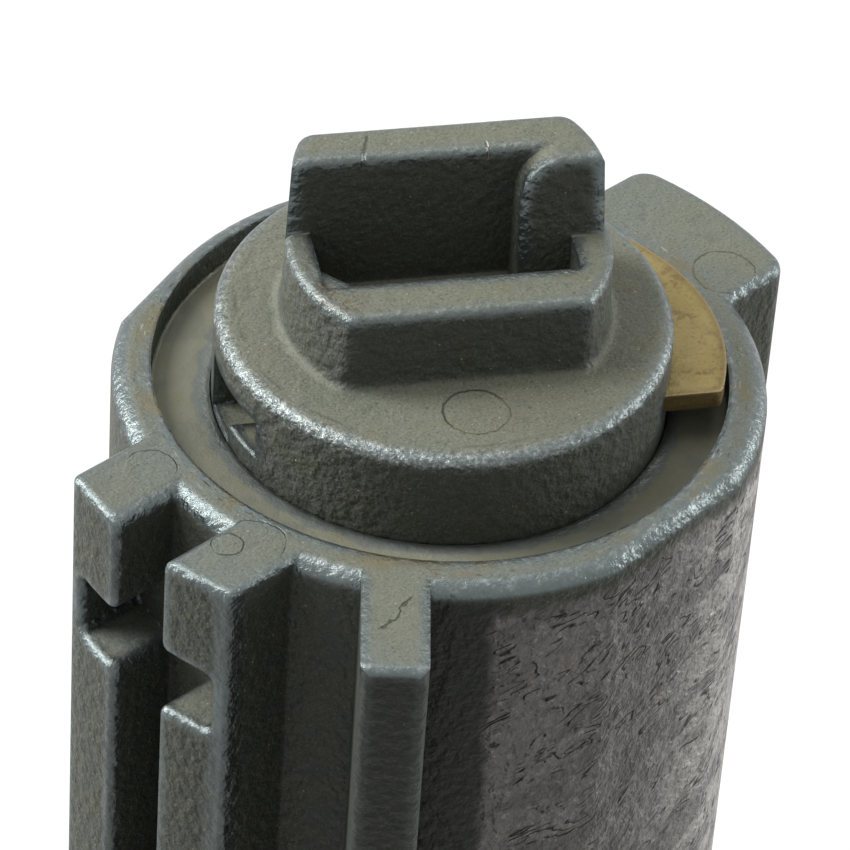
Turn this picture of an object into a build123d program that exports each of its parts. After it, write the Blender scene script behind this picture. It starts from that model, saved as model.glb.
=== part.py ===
from build123d import *
from math import acos, cos, degrees, radians, sin, tan
import os

# Ignition lock cylinder: die-cast housing, turning rotor with drive tang, wafers and key shutter.
# Millimetres. +Z runs along the turning axis from the key end to the drive tang, and the
# origin lies on that axis in the plane of the head's seating shoulder. +X points through
# the middle of the locating lug.

os.makedirs("parts", exist_ok=True)

# Housing
BORE_R = 10.5
BODY_WALL = 4.5
RELIEF_DEPTH = 0.75
RELIEF_END_AZ = 108.0
SIDE_FLAT_DEPTH = 0.57
SIDE_FLAT_AZ = -85.5
RIM_Z = 55.0
RIM_WIDTH = 1.8
RIM_ROUND = 0.95
HEAD_OVERHANG = 4.0
HEAD_T = 5.0
HEAD_ROUND = 0.8
FRONT_SEAT_DEPTH = 4.0
REAR_SEAT_DEPTH = 1.5

# Locating lug and the pair of guide ribs opposite to it
KEY_HEIGHT = 3.4
LUG_HALF_WIDTH = 4.9
LUG_CORNER_ROUND = 1.3
LUG_TOP_ROUND = 0.6
RIBS_OFFSET = -0.35
RIBS_HALF_WIDTH = 5.2
CHANNEL_HALF_WIDTH = 1.5
RIB_EDGE_ROUND = 0.35
RIB_TOP_ROUND = 0.7
NOTCH_BELOW_RIM = 5.4
NOTCH_HEIGHT = 3.4
NOTCH_WEB = 0.92
NOTCH_ROUND = 0.5

# Diagonal rib
FIN_AZ = 227.3
FIN_HEIGHT = 5.3
FIN_OFFSET = -1.97
FIN_THICKNESS = 3.0
FIN_START_Z = 4.0
FIN_RUNOUT = 5.0
FIN_ROUND = 0.45

# Rotor
RUNNING_CLEARANCE = 0.07
DISC_TOP_ABOVE_RIM = 3.4
DISC_ROUND = 0.6
ROTOR_HEAD_STEP = 2.17
CAP_RECESS = 0.4
TANG_AZ = -31.7

# Drive tang, measured along (u) and across (v) its long direction, with heights above the rim
TANG_R = 7.5
TANG_FRONT_V = -5.1
TANG_BACK_V = 3.9
TANG_DRAFT = 2.0
TANG_FRONT_ROUND = 0.8
TANG_BACK_ROUND = 1.2
LOW_WALL_TOP = 7.35
TALL_WALL_TOP = 11.28
TALL_WALL_FRONT_V = 1.28
TALL_WALL_LEAN = 0.17
TALL_WALL_STEP = 0.33
BUTTRESS_LEFT_U = 3.1
BUTTRESS_FRONT_V = -0.75
BUTTRESS_LEAN = 1.05
BUTTRESS_ROUND = 2.2
POCKET_LEFT_U = -6.13
POCKET_RIGHT_U = 5.5
POCKET_FRONT_V = -2.65
POCKET_FLOOR = 4.3
POCKET_CORNER = 1.75
POCKET_CORNER_SHELF = 7.0
TANG_EDGE_ROUND = 0.4
TANG_FOOT_ROUND = 0.5

# Slot under the tail disc, and the plate that slides in it
SLOT_NEAR_V = -4.6
SLOT_TONGUE_V = 0.3
SLOT_HEAD_GAP = 0.45
PLATE_BOTTOM = 0.1
PLATE_T = 0.9
PLATE_SIDE_GAP = 0.08
PLATE_FACE_GAP = 0.05
PLATE_TIP_GAP = 0.18
PLATE_STOP_GAP = 0.2
PLATE_CENTRE_V = -0.2
PLATE_CORNER_ROUND = 0.4
PLATE_HEAD_WIDTH = 12.0
PLATE_HEAD_LENGTH = 4.05
PLATE_TONGUE_GAP = 0.2
PLATE_TAB_U = 1.0
PLATE_TAB_DEPTH = 1.7
WINDOW_DEPTH = 2.83
WINDOW_BOTTOM = -0.4
WINDOW_TOP = 1.6
WINDOW_WELL_BOTTOM = -1.4
WINDOW_WELL_V = -2.35

# Plate spring and its pocket
PLATE_SPRING_LEFT_U = -5.5
PLATE_SPRING_R = 0.75
PLATE_SPRING_WIRE = 0.3
PLATE_SPRING_TURNS = 5
POCKET_WALL_GAP = 0.15

# Keyway and wafers
KEYWAY_HALF_HEIGHT = 4.7
KEYWAY_HALF_WIDTH = 1.15
KEYWAY_END_Z = 34.0
WAFER_COUNT = 7
WAFER_FIRST_Z = 9.0
WAFER_PITCH = 3.6
WAFER_T = 1.0
WAFER_HALF_WIDTH = 3.4
WAFER_END_GAP = 0.15
WAFER_SIDE_GAP = 0.04
WAFER_THROW = 1.3
WAFER_WINDOW_HALF_WIDTH = 1.4
WAFER_WINDOW_HALF_HEIGHT = 3.0
WAFER_CUT_DEPTHS = (1, 3, 2, 4, 2, 1, 3)
WAFER_CUT_STEP = 0.35
WAFER_EAR_U = 0.75
WAFER_EAR_LENGTH = 1.0
WAFER_EAR_WIDTH = 2.2
GROOVE_SIDE_GAP = 0.3
GROOVE_DEPTH = 1.5
GROOVE_END_Z = 38.0

# Wafer springs
WAFER_SPRING_R = 0.85
WAFER_SPRING_WIRE = 0.32
WAFER_SPRING_TURNS = 4
WAFER_SPRING_SEAT_U = -4.2
SPRING_END_GAP = 0.04

# Face cap and key shutter
CAP_T = 0.4
CAP_SEAT_GAP = 0.02
CAP_SIDE_GAP = 0.08
CAP_SKIRT_LENGTH = 2.8
CAP_ROUND = 0.5
KEY_SLOT_HALF_HEIGHT = 4.8
KEY_SLOT_HALF_WIDTH = 1.35
SHUTTER_T = 0.5
SHUTTER_PIN_R = 0.5
SHUTTER_PIN_BELOW_CAP = 1.1
SHUTTER_PIN_V = 2.35
SHUTTER_PIN_HALF_LENGTH = 6.4
SHUTTER_KNUCKLE_R = 0.95
SHUTTER_BORE_GAP = 0.05
SHUTTER_END_U = 4.8
SHUTTER_KNUCKLE_END_U = 2.3
SHUTTER_EAR_REACH = 1.8
SHUTTER_LIP = 0.25
SHUTTER_WELL_GAP = 0.25
SHUTTER_SPRING_R = 0.82
SHUTTER_SPRING_WIRE = 0.3
SHUTTER_SPRING_TURNS = 3
SHUTTER_SPRING_LEG_ANGLE = 18.0
SHUTTER_SPRING_EAR_LEG = 2.2
SHUTTER_SPRING_WALL_LEG = 2.0

# Heights and radii that follow from the sizes above
BODY_R = BORE_R + BODY_WALL
RELIEF_R = BODY_R - RELIEF_DEPTH
SIDE_FLAT_R = BODY_R - SIDE_FLAT_DEPTH
REAR_SEAT_R = BODY_R - RIM_WIDTH
HEAD_R = BODY_R + HEAD_OVERHANG
KEY_R = BODY_R + KEY_HEIGHT
FIN_TIP_R = BODY_R + FIN_HEIGHT
FRONT_Z = -HEAD_T
FRONT_SEAT_FLOOR_Z = FRONT_Z + FRONT_SEAT_DEPTH
CAP_FACE_Z = FRONT_Z + CAP_RECESS
CAP_SKIRT_END_Z = CAP_FACE_Z + CAP_SKIRT_LENGTH
ROTOR_FACE_Z = CAP_FACE_Z + CAP_T
BARREL_R = BORE_R - RUNNING_CLEARANCE
ROTOR_HEAD_R = BARREL_R + ROTOR_HEAD_STEP
FRONT_SEAT_R = ROTOR_HEAD_R + CAP_SEAT_GAP + CAP_T + CAP_SIDE_GAP
PLATE_R = BARREL_R - PLATE_TIP_GAP
PLATE_TRAVEL = REAR_SEAT_R - PLATE_STOP_GAP - PLATE_R
PLATE_HEAD_INNER_U = PLATE_R - PLATE_HEAD_LENGTH
SLOT_HEAD_U = PLATE_HEAD_INNER_U - PLATE_TRAVEL - SLOT_HEAD_GAP
WINDOW_U = WINDOW_DEPTH - BARREL_R
DISC_TOP_Z = RIM_Z + DISC_TOP_ABOVE_RIM
TANG_FOOT_Z = DISC_TOP_Z - DISC_ROUND
PLATE_BOTTOM_Z = RIM_Z + PLATE_BOTTOM
PLATE_TOP_Z = PLATE_BOTTOM_Z + PLATE_T
SLOT_BOTTOM_Z = PLATE_BOTTOM_Z - PLATE_FACE_GAP
SLOT_TOP_Z = PLATE_TOP_Z + PLATE_FACE_GAP
NOTCH_TOP_Z = RIM_Z - NOTCH_BELOW_RIM
NOTCH_BOTTOM_Z = NOTCH_TOP_Z - NOTCH_HEIGHT
SHUTTER_PIN_Z = ROTOR_FACE_Z + SHUTTER_PIN_BELOW_CAP
OUTSIDE = HEAD_R + 1

# Directions along and across the tang, which the keyway and wafers share
U_DIR = Vector(cos(radians(TANG_AZ)), sin(radians(TANG_AZ)), 0)
V_DIR = Vector(-sin(radians(TANG_AZ)), cos(radians(TANG_AZ)), 0)


def level(z):
    """Plane at height z whose X and Y run along and across the tang."""
    return Plane(origin=(0, 0, z), x_dir=U_DIR, z_dir=(0, 0, 1))


def upright(v):
    """Plane across the tang at v, seen from the low wall's side: X along u, Y up."""
    return Plane(origin=V_DIR * v, x_dir=U_DIR, z_dir=-V_DIR)


def along(u, v, z):
    """Plane at a point given along u, across v and up z, facing along u."""
    return Plane(origin=U_DIR * u + V_DIR * v + Vector(0, 0, z), x_dir=V_DIR, z_dir=U_DIR)


def span(low_u, high_u, low_v, high_v):
    """Centre and size of the rectangle between two limits each way."""
    centre = ((low_u + high_u) / 2, (low_v + high_v) / 2)
    return centre, high_u - low_u, high_v - low_v


# Locating lug: a block with straight sides and a round outer face
with BuildPart() as lug:
    with BuildSketch():
        Circle(KEY_R)
        with Locations((BORE_R, 0)):
            Rectangle(KEY_R, 2 * LUG_HALF_WIDTH, align=(Align.MIN, Align.CENTER), mode=Mode.INTERSECT)
    extrude(amount=RIM_Z)
    fillet(lug.edges().filter_by(Axis.Z).group_by(Axis.X)[-1], radius=LUG_CORNER_ROUND)
    lug_top = lug.faces().sort_by(Axis.Z)[-1]
    fillet(lug_top.edges().group_by(Axis.X)[1:], radius=LUG_TOP_ROUND)

# Guide ribs: a pair opposite to the lug, parted by a channel and notched towards it
with BuildPart() as guide_ribs:
    with BuildSketch(Plane(origin=(-BORE_R, RIBS_OFFSET, 0), x_dir=(0, -1, 0), z_dir=(-1, 0, 0))) as rib_fronts:
        with BuildLine():
            Polyline(
                (RIBS_HALF_WIDTH, 0),
                (RIBS_HALF_WIDTH, RIM_Z),
                (CHANNEL_HALF_WIDTH, RIM_Z),
                (CHANNEL_HALF_WIDTH, NOTCH_TOP_Z),
                (RIBS_HALF_WIDTH - NOTCH_WEB, NOTCH_TOP_Z),
                (RIBS_HALF_WIDTH - NOTCH_WEB, NOTCH_BOTTOM_Z),
                (CHANNEL_HALF_WIDTH, NOTCH_BOTTOM_Z),
                (CHANNEL_HALF_WIDTH, 0),
                close=True,
            )
        make_face()
        fillet(rib_fronts.vertices().group_by(Axis.Y)[1:-1], radius=NOTCH_ROUND)
        fillet(rib_fronts.vertices().group_by(Axis.Y)[-1].sort_by(Axis.X)[0], radius=RIB_TOP_ROUND)
        fillet(rib_fronts.vertices().group_by(Axis.Y)[-1].sort_by(Axis.X)[-1], radius=RIB_EDGE_ROUND)
        mirror(about=Plane.YZ)
    extrude(amount=KEY_R)
    with BuildSketch():
        Circle(KEY_R)
    extrude(amount=RIM_Z, mode=Mode.INTERSECT)
    rib_faces = guide_ribs.faces().filter_by(GeomType.CYLINDER).sort_by(SortBy.AREA)[-2:]
    fillet(rib_faces.edges().filter_by_position(Axis.Z, 1, RIM_Z + 1), radius=RIB_EDGE_ROUND)

# Diagonal rib: a side profile with its lower end run out towards the body
fin_dir = Vector(cos(radians(FIN_AZ)), sin(radians(FIN_AZ)), 0)
fin_side = Vector(-sin(radians(FIN_AZ)), cos(radians(FIN_AZ)), 0)
with BuildPart() as fin:
    with BuildSketch(Plane(origin=fin_side * FIN_OFFSET, x_dir=fin_dir, z_dir=-fin_side)):
        with BuildLine():
            Polyline(
                (BORE_R + 1, FIN_START_Z),
                (BODY_R, FIN_START_Z),
                (FIN_TIP_R, FIN_START_Z + FIN_RUNOUT),
                (FIN_TIP_R, RIM_Z),
                (BORE_R + 1, RIM_Z),
                close=True,
            )
        make_face()
    extrude(amount=FIN_THICKNESS / 2, both=True)
    outwards = Axis((0, 0, 0), fin_dir)
    fin_corners = fin.edges().filter_by(Axis.Z).sort_by(outwards)[-2:]
    fin_brow = fin.faces().sort_by(Axis.Z)[-1].edges().sort_by(outwards)[-1]
    fillet(fin_corners + [fin_brow], radius=FIN_ROUND)

# Housing: one casting, bored from both ends
with BuildPart() as housing:
    corner_az = RELIEF_END_AZ + degrees(acos(RELIEF_R / BODY_R))
    with BuildSketch():
        with BuildLine():
            round_side = CenterArc((0, 0), BODY_R, corner_az, 360 - corner_az)
            relief_side = CenterArc((0, 0), RELIEF_R, 0, RELIEF_END_AZ)
            Line(round_side @ 1, relief_side @ 0)
            Line(relief_side @ 1, round_side @ 0)
        make_face()
        with PolarLocations(SIDE_FLAT_R, 1, start_angle=SIDE_FLAT_AZ):
            Rectangle(BODY_R, 2 * BODY_R, align=(Align.MIN, Align.CENTER), mode=Mode.SUBTRACT)
    extrude(amount=RIM_Z)
    fillet(housing.faces().sort_by(Axis.Z)[-1].edges(), radius=RIM_ROUND)
    with BuildSketch(Plane.XY.offset(FRONT_Z)):
        Circle(HEAD_R)
    extrude(amount=HEAD_T)
    fillet(housing.faces().sort_by(Axis.Z)[0].edges(), radius=HEAD_ROUND)
    add(lug.part)
    add(guide_ribs.part)
    add(fin.part)
    with BuildSketch(Plane.XY.offset(FRONT_Z)):
        Circle(BORE_R)
    extrude(amount=HEAD_T + RIM_Z, mode=Mode.SUBTRACT)
    with BuildSketch(Plane.XY.offset(FRONT_Z)):
        Circle(FRONT_SEAT_R)
    extrude(amount=FRONT_SEAT_FLOOR_Z - FRONT_Z, mode=Mode.SUBTRACT)
    with BuildSketch(Plane.XY.offset(RIM_Z)):
        Circle(REAR_SEAT_R)
    extrude(amount=-REAR_SEAT_DEPTH, mode=Mode.SUBTRACT)
    with BuildSketch(level(FRONT_SEAT_FLOOR_Z)):
        Rectangle(2 * (BORE_R + GROOVE_DEPTH), 2 * (WAFER_HALF_WIDTH + GROOVE_SIDE_GAP))
        Circle(BORE_R + GROOVE_DEPTH, mode=Mode.INTERSECT)
    extrude(amount=GROOVE_END_Z - FRONT_SEAT_FLOOR_Z, mode=Mode.SUBTRACT)
housing.part.label = "housing"
export_step(housing.part, "parts/housing.step")


def stub(top, right_r):
    """The tang's round plan with its own right end, flat in front and behind, with draft up to a height."""
    height = RIM_Z + top - TANG_FOOT_Z
    with BuildPart() as body:
        with BuildSketch(level(TANG_FOOT_Z)) as plan:
            Circle(TANG_R)
            Rectangle(TANG_R, 2 * TANG_R, align=(Align.MIN, Align.CENTER), mode=Mode.SUBTRACT)
            Circle(right_r)
            middle, length, width = span(-TANG_R, TANG_R, TANG_FRONT_V, TANG_BACK_V)
            with Locations(middle):
                Rectangle(length, width, mode=Mode.INTERSECT)
            fillet(plan.vertices().group_by(Axis.Y)[0], radius=TANG_FRONT_ROUND)
            fillet(plan.vertices().group_by(Axis.Y)[-1], radius=TANG_BACK_ROUND)
        with BuildSketch(level(RIM_Z + top)):
            add(plan.sketch_local)
            offset(amount=-height * tan(radians(TANG_DRAFT)), mode=Mode.REPLACE)
        loft()
        fillet(body.faces().sort_by(Axis.Z)[-1].edges(), radius=TANG_EDGE_ROUND)
    return body.part


def leaning_block(start_u, front_v, lean):
    """Block from start_u to the tang's right end, with a front face that leans back."""
    with BuildPart() as block:
        with BuildSketch(along(start_u, 0, RIM_Z)) as side:
            with BuildLine():
                Polyline(
                    (front_v, POCKET_FLOOR),
                    (TANG_BACK_V, POCKET_FLOOR),
                    (TANG_BACK_V, TALL_WALL_TOP),
                    (front_v + lean, TALL_WALL_TOP),
                    close=True,
                )
            make_face()
            fillet(side.vertices().group_by(Axis.Y)[-1].sort_by(Axis.X)[0], radius=TANG_EDGE_ROUND)
        extrude(amount=TANG_R - start_u)
    return block.part


# Tall wall: the back of the stub at full height, with its right end set back a step
tall_stub = stub(TALL_WALL_TOP, TANG_R - TALL_WALL_STEP)
with BuildPart() as tall_wall:
    add(tall_stub)
    add(leaning_block(-TANG_R, TALL_WALL_FRONT_V, TALL_WALL_LEAN), mode=Mode.INTERSECT)

# Buttress: the right end of the same stub, standing further forward and rounded down to the left
with BuildPart() as buttress:
    add(tall_stub)
    add(leaning_block(BUTTRESS_LEFT_U, BUTTRESS_FRONT_V, BUTTRESS_LEAN), mode=Mode.INTERSECT)
    with BuildSketch(upright(TANG_BACK_V)) as buttress_outline:
        with Locations((BUTTRESS_LEFT_U, RIM_Z)):
            Rectangle(TANG_R, TALL_WALL_TOP, align=(Align.MIN, Align.MIN))
        fillet(buttress_outline.vertices().group_by(Axis.Y)[-1].sort_by(Axis.X)[0], radius=BUTTRESS_ROUND)
    extrude(amount=TANG_BACK_V - BUTTRESS_FRONT_V, mode=Mode.INTERSECT)

# Rotor: one casting with head, barrel, tail disc and tang
with BuildPart() as rotor:
    with BuildSketch(Plane.XY.offset(ROTOR_FACE_Z)):
        Circle(ROTOR_HEAD_R)
    extrude(amount=FRONT_SEAT_FLOOR_Z - ROTOR_FACE_Z)
    with BuildSketch(Plane.XY.offset(FRONT_SEAT_FLOOR_Z)):
        Circle(BARREL_R)
    extrude(amount=DISC_TOP_Z - FRONT_SEAT_FLOOR_Z)
    fillet(rotor.faces().sort_by(Axis.Z)[-1].edges(), radius=DISC_ROUND)

    # Drive tang: a low wall round a pocket, with one tall wall and a buttress at its right end
    add(stub(LOW_WALL_TOP, TANG_R))
    foot = rotor.edges().filter_by_position(Axis.Z, DISC_TOP_Z, DISC_TOP_Z).sort_by(SortBy.LENGTH)[:-1]
    fillet(foot, radius=TANG_FOOT_ROUND)
    middle, length, width = span(
        POCKET_LEFT_U, POCKET_RIGHT_U, POCKET_FRONT_V, TALL_WALL_FRONT_V + TALL_WALL_LEAN
    )
    with BuildSketch(level(RIM_Z + POCKET_CORNER_SHELF)):
        with Locations(middle):
            Rectangle(length, width)
    extrude(amount=LOW_WALL_TOP, mode=Mode.SUBTRACT)
    with BuildSketch(level(RIM_Z + POCKET_FLOOR)) as pocket:
        with Locations(middle):
            Rectangle(length, width)
        chamfer(pocket.vertices().group_by(Axis.Y)[0].sort_by(Axis.X)[0], length=POCKET_CORNER)
    extrude(amount=LOW_WALL_TOP, mode=Mode.SUBTRACT)
    add(tall_wall.part)
    add(buttress.part)

    # Slot for the retaining plate: wide on the plate's side, narrow across the middle
    with BuildSketch(level(SLOT_BOTTOM_Z)):
        middle, length, width = span(SLOT_HEAD_U, OUTSIDE, SLOT_NEAR_V, OUTSIDE)
        with Locations(middle):
            Rectangle(length, width)
        middle, length, width = span(-OUTSIDE, SLOT_HEAD_U, SLOT_NEAR_V, SLOT_TONGUE_V)
        with Locations(middle):
            Rectangle(length, width)
    extrude(amount=SLOT_TOP_Z - SLOT_BOTTOM_Z, mode=Mode.SUBTRACT)
    for low_z, low_v in ((WINDOW_BOTTOM, SLOT_NEAR_V), (WINDOW_WELL_BOTTOM, WINDOW_WELL_V)):
        with BuildSketch(level(RIM_Z + low_z)):
            middle, length, width = span(-OUTSIDE, WINDOW_U, low_v, SLOT_TONGUE_V)
            with Locations(middle):
                Rectangle(length, width)
        extrude(amount=WINDOW_TOP - low_z, mode=Mode.SUBTRACT)

    # Pocket for the plate's spring and tab, under the narrow part of the slot
    spring_v = (SLOT_NEAR_V + SLOT_TONGUE_V) / 2
    pocket_half = PLATE_SPRING_R + PLATE_SPRING_WIRE / 2 + POCKET_WALL_GAP
    with BuildSketch(level(SLOT_BOTTOM_Z)):
        tab_end = PLATE_TAB_U + PLATE_T + POCKET_WALL_GAP
        middle, length, width = span(
            PLATE_SPRING_LEFT_U, tab_end, spring_v - pocket_half, spring_v + pocket_half
        )
        with Locations(middle):
            Rectangle(length, width)
    extrude(amount=-2 * pocket_half, mode=Mode.SUBTRACT)

    # Keyway, wafer slots, and spring pockets open to one side of the barrel
    with BuildSketch(level(ROTOR_FACE_Z)):
        Rectangle(2 * KEYWAY_HALF_HEIGHT, 2 * KEYWAY_HALF_WIDTH)
    extrude(amount=KEYWAY_END_Z - ROTOR_FACE_Z, mode=Mode.SUBTRACT)
    slot_t = WAFER_T + 2 * WAFER_SIDE_GAP
    wafer_spring_v = WAFER_HALF_WIDTH + WAFER_EAR_WIDTH / 2 + WAFER_SIDE_GAP
    spring_space = 2 * (WAFER_SPRING_R + WAFER_SPRING_WIRE / 2 + POCKET_WALL_GAP)
    ear_end = WAFER_EAR_U + WAFER_EAR_LENGTH + WAFER_THROW + POCKET_WALL_GAP
    for index in range(WAFER_COUNT):
        wafer_z = WAFER_FIRST_Z + index * WAFER_PITCH
        with BuildSketch(level(wafer_z - slot_t / 2)):
            Rectangle(2 * OUTSIDE, 2 * (WAFER_HALF_WIDTH + WAFER_SIDE_GAP))
        extrude(amount=slot_t, mode=Mode.SUBTRACT)
        with BuildSketch(level(wafer_z - spring_space / 2)):
            middle, length, width = span(WAFER_SPRING_SEAT_U, ear_end, WAFER_HALF_WIDTH, OUTSIDE)
            with Locations(middle):
                Rectangle(length, width)
        extrude(amount=spring_space, mode=Mode.SUBTRACT)

    # Well behind the face cap in which the key shutter swings, and the bore for its pin
    well_depth = SHUTTER_PIN_BELOW_CAP + SHUTTER_PIN_V + KEY_SLOT_HALF_WIDTH + SHUTTER_LIP + SHUTTER_WELL_GAP
    with BuildSketch(level(ROTOR_FACE_Z)):
        well_half = SHUTTER_END_U + SHUTTER_WELL_GAP
        middle, length, width = span(
            -well_half,
            well_half,
            -KEY_SLOT_HALF_WIDTH - SHUTTER_LIP - SHUTTER_WELL_GAP,
            SHUTTER_PIN_V + SHUTTER_SPRING_R + SHUTTER_SPRING_WIRE / 2 + POCKET_WALL_GAP,
        )
        with Locations(middle):
            Rectangle(length, width)
    extrude(amount=well_depth, mode=Mode.SUBTRACT)
    with BuildSketch(along(-ROTOR_HEAD_R, SHUTTER_PIN_V, SHUTTER_PIN_Z)):
        Circle(SHUTTER_PIN_R + CAP_SEAT_GAP)
    extrude(amount=ROTOR_HEAD_R + SHUTTER_PIN_HALF_LENGTH, mode=Mode.SUBTRACT)
rotor.part.label = "rotor"
export_step(rotor.part, "parts/rotor.step")

# Retaining plate: a flat brass stamping with a round head, a tongue and a tab bent down
with BuildPart() as retaining_plate:
    plate_near_v = SLOT_NEAR_V + PLATE_SIDE_GAP
    with BuildSketch(level(PLATE_BOTTOM_Z)) as plate_plan:
        with Locations((PLATE_TRAVEL, PLATE_CENTRE_V)):
            Circle(PLATE_R)
        middle, length, width = span(
            PLATE_HEAD_INNER_U, OUTSIDE, plate_near_v, plate_near_v + PLATE_HEAD_WIDTH
        )
        with Locations(middle):
            Rectangle(length, width, mode=Mode.INTERSECT)
        fillet(plate_plan.vertices().group_by(Axis.Y)[0].sort_by(Axis.X)[-1], radius=PLATE_CORNER_ROUND)
        middle, length, width = span(
            WINDOW_U + PLATE_TONGUE_GAP,
            PLATE_HEAD_INNER_U + PLATE_T,
            plate_near_v,
            SLOT_TONGUE_V - PLATE_SIDE_GAP,
        )
        with Locations(middle):
            Rectangle(length, width)
    extrude(amount=PLATE_T)
    with BuildSketch(level(PLATE_BOTTOM_Z)):
        tab_half = PLATE_SPRING_R + PLATE_SPRING_WIRE / 2
        middle, length, width = span(
            PLATE_TAB_U, PLATE_TAB_U + PLATE_T, spring_v - tab_half, spring_v + tab_half
        )
        with Locations(middle):
            Rectangle(length, width)
    extrude(amount=-PLATE_TAB_DEPTH)
retaining_plate.part.label = "retaining_plate"
export_step(retaining_plate.part, "parts/retaining_plate.step")


def coil(start, direction, length, turns, coil_radius, wire):
    """Open coil spring of the given length, with its axis along direction from start."""
    reach = length - wire
    base = Vector(*start) + Vector(*direction) * (wire / 2)
    with BuildPart() as spring:
        with BuildLine():
            path = Helix(reach / turns, reach, coil_radius, center=base, direction=direction)
        with BuildSketch(Plane(origin=path @ 0, z_dir=path % 0)):
            Circle(wire / 2)
        sweep(path=path, is_frenet=True)
    return spring.part


plate_spring = coil(
    U_DIR * (PLATE_SPRING_LEFT_U + SPRING_END_GAP)
    + V_DIR * spring_v
    + Vector(0, 0, SLOT_BOTTOM_Z - pocket_half),
    U_DIR,
    PLATE_TAB_U - PLATE_SPRING_LEFT_U - 2 * SPRING_END_GAP,
    PLATE_SPRING_TURNS,
    PLATE_SPRING_R,
    PLATE_SPRING_WIRE,
)
plate_spring.label = "plate_spring"
export_step(plate_spring, "parts/plate_spring.step")

# Wafers, each with its own cut depth, and their springs
for index, cut_depth in zip(range(WAFER_COUNT), WAFER_CUT_DEPTHS):
    wafer_z = WAFER_FIRST_Z + index * WAFER_PITCH
    number = index + 1
    with BuildPart() as wafer:
        with BuildSketch(level(wafer_z - WAFER_T / 2)):
            Circle(BARREL_R - WAFER_END_GAP)
            Rectangle(2 * BARREL_R, 2 * WAFER_HALF_WIDTH, mode=Mode.INTERSECT)
            middle, length, width = span(
                WAFER_EAR_U,
                WAFER_EAR_U + WAFER_EAR_LENGTH,
                WAFER_HALF_WIDTH - WAFER_T,
                WAFER_HALF_WIDTH + WAFER_EAR_WIDTH,
            )
            with Locations(middle):
                Rectangle(length, width)
            with Locations((cut_depth * WAFER_CUT_STEP, 0)):
                RectangleRounded(
                    2 * WAFER_WINDOW_HALF_HEIGHT + KEYWAY_HALF_WIDTH,
                    2 * WAFER_WINDOW_HALF_WIDTH,
                    WAFER_CUT_STEP,
                    mode=Mode.SUBTRACT,
                )
        extrude(amount=WAFER_T)
    wafer.part.label = f"wafer_{number}"
    export_step(wafer.part, f"parts/wafer_{number}.step")

    wafer_spring = coil(
        U_DIR * (WAFER_SPRING_SEAT_U + SPRING_END_GAP) + V_DIR * wafer_spring_v + Vector(0, 0, wafer_z),
        U_DIR,
        WAFER_EAR_U - WAFER_SPRING_SEAT_U - 2 * SPRING_END_GAP,
        WAFER_SPRING_TURNS,
        WAFER_SPRING_R,
        WAFER_SPRING_WIRE,
    )
    wafer_spring.label = f"wafer_spring_{number}"
    export_step(wafer_spring, f"parts/wafer_spring_{number}.step")

# Face cap: a drawn steel cup over the rotor's head, with the key slot
with BuildPart() as face_cap:
    with BuildSketch(Plane.XY.offset(CAP_FACE_Z)):
        Circle(ROTOR_HEAD_R + CAP_SEAT_GAP + CAP_T)
    extrude(amount=CAP_SKIRT_END_Z - CAP_FACE_Z)
    fillet(face_cap.faces().sort_by(Axis.Z)[0].edges(), radius=CAP_T)
    with BuildSketch(Plane.XY.offset(ROTOR_FACE_Z)):
        Circle(ROTOR_HEAD_R + CAP_SEAT_GAP)
    extrude(amount=CAP_SKIRT_END_Z - ROTOR_FACE_Z, mode=Mode.SUBTRACT)
    with BuildSketch(level(CAP_FACE_Z)):
        RectangleRounded(2 * KEY_SLOT_HALF_HEIGHT, 2 * KEY_SLOT_HALF_WIDTH, CAP_ROUND)
    extrude(amount=CAP_T, mode=Mode.SUBTRACT)
face_cap.part.label = "face_cap"
export_step(face_cap.part, "parts/face_cap.step")

# Key shutter: a flap with a rolled knuckle, behind the key slot, and an ear for its spring
flap_reach = SHUTTER_PIN_V + KEY_SLOT_HALF_WIDTH + SHUTTER_LIP
with BuildPart() as key_shutter:
    with BuildSketch(along(-SHUTTER_END_U, SHUTTER_PIN_V, SHUTTER_PIN_Z)):
        Circle(SHUTTER_KNUCKLE_R)
        with Locations((0, -SHUTTER_KNUCKLE_R)):
            Rectangle(flap_reach, SHUTTER_T, align=(Align.MAX, Align.MIN))
        Circle(SHUTTER_PIN_R + SHUTTER_BORE_GAP, mode=Mode.SUBTRACT)
    extrude(amount=SHUTTER_END_U + SHUTTER_KNUCKLE_END_U)
    with BuildSketch(along(SHUTTER_KNUCKLE_END_U, SHUTTER_PIN_V, SHUTTER_PIN_Z)):
        with Locations((-SHUTTER_EAR_REACH, -SHUTTER_KNUCKLE_R)):
            Rectangle(flap_reach - SHUTTER_EAR_REACH, SHUTTER_T, align=(Align.MAX, Align.MIN))
    extrude(amount=SHUTTER_END_U - SHUTTER_KNUCKLE_END_U)
key_shutter.part.label = "key_shutter"
export_step(key_shutter.part, "parts/key_shutter.step")

# Shutter pin
with BuildPart() as shutter_pin:
    with BuildSketch(along(-SHUTTER_PIN_HALF_LENGTH, SHUTTER_PIN_V, SHUTTER_PIN_Z)):
        Circle(SHUTTER_PIN_R)
    extrude(amount=2 * SHUTTER_PIN_HALF_LENGTH)
shutter_pin.part.label = "shutter_pin"
export_step(shutter_pin.part, "parts/shutter_pin.step")

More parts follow.
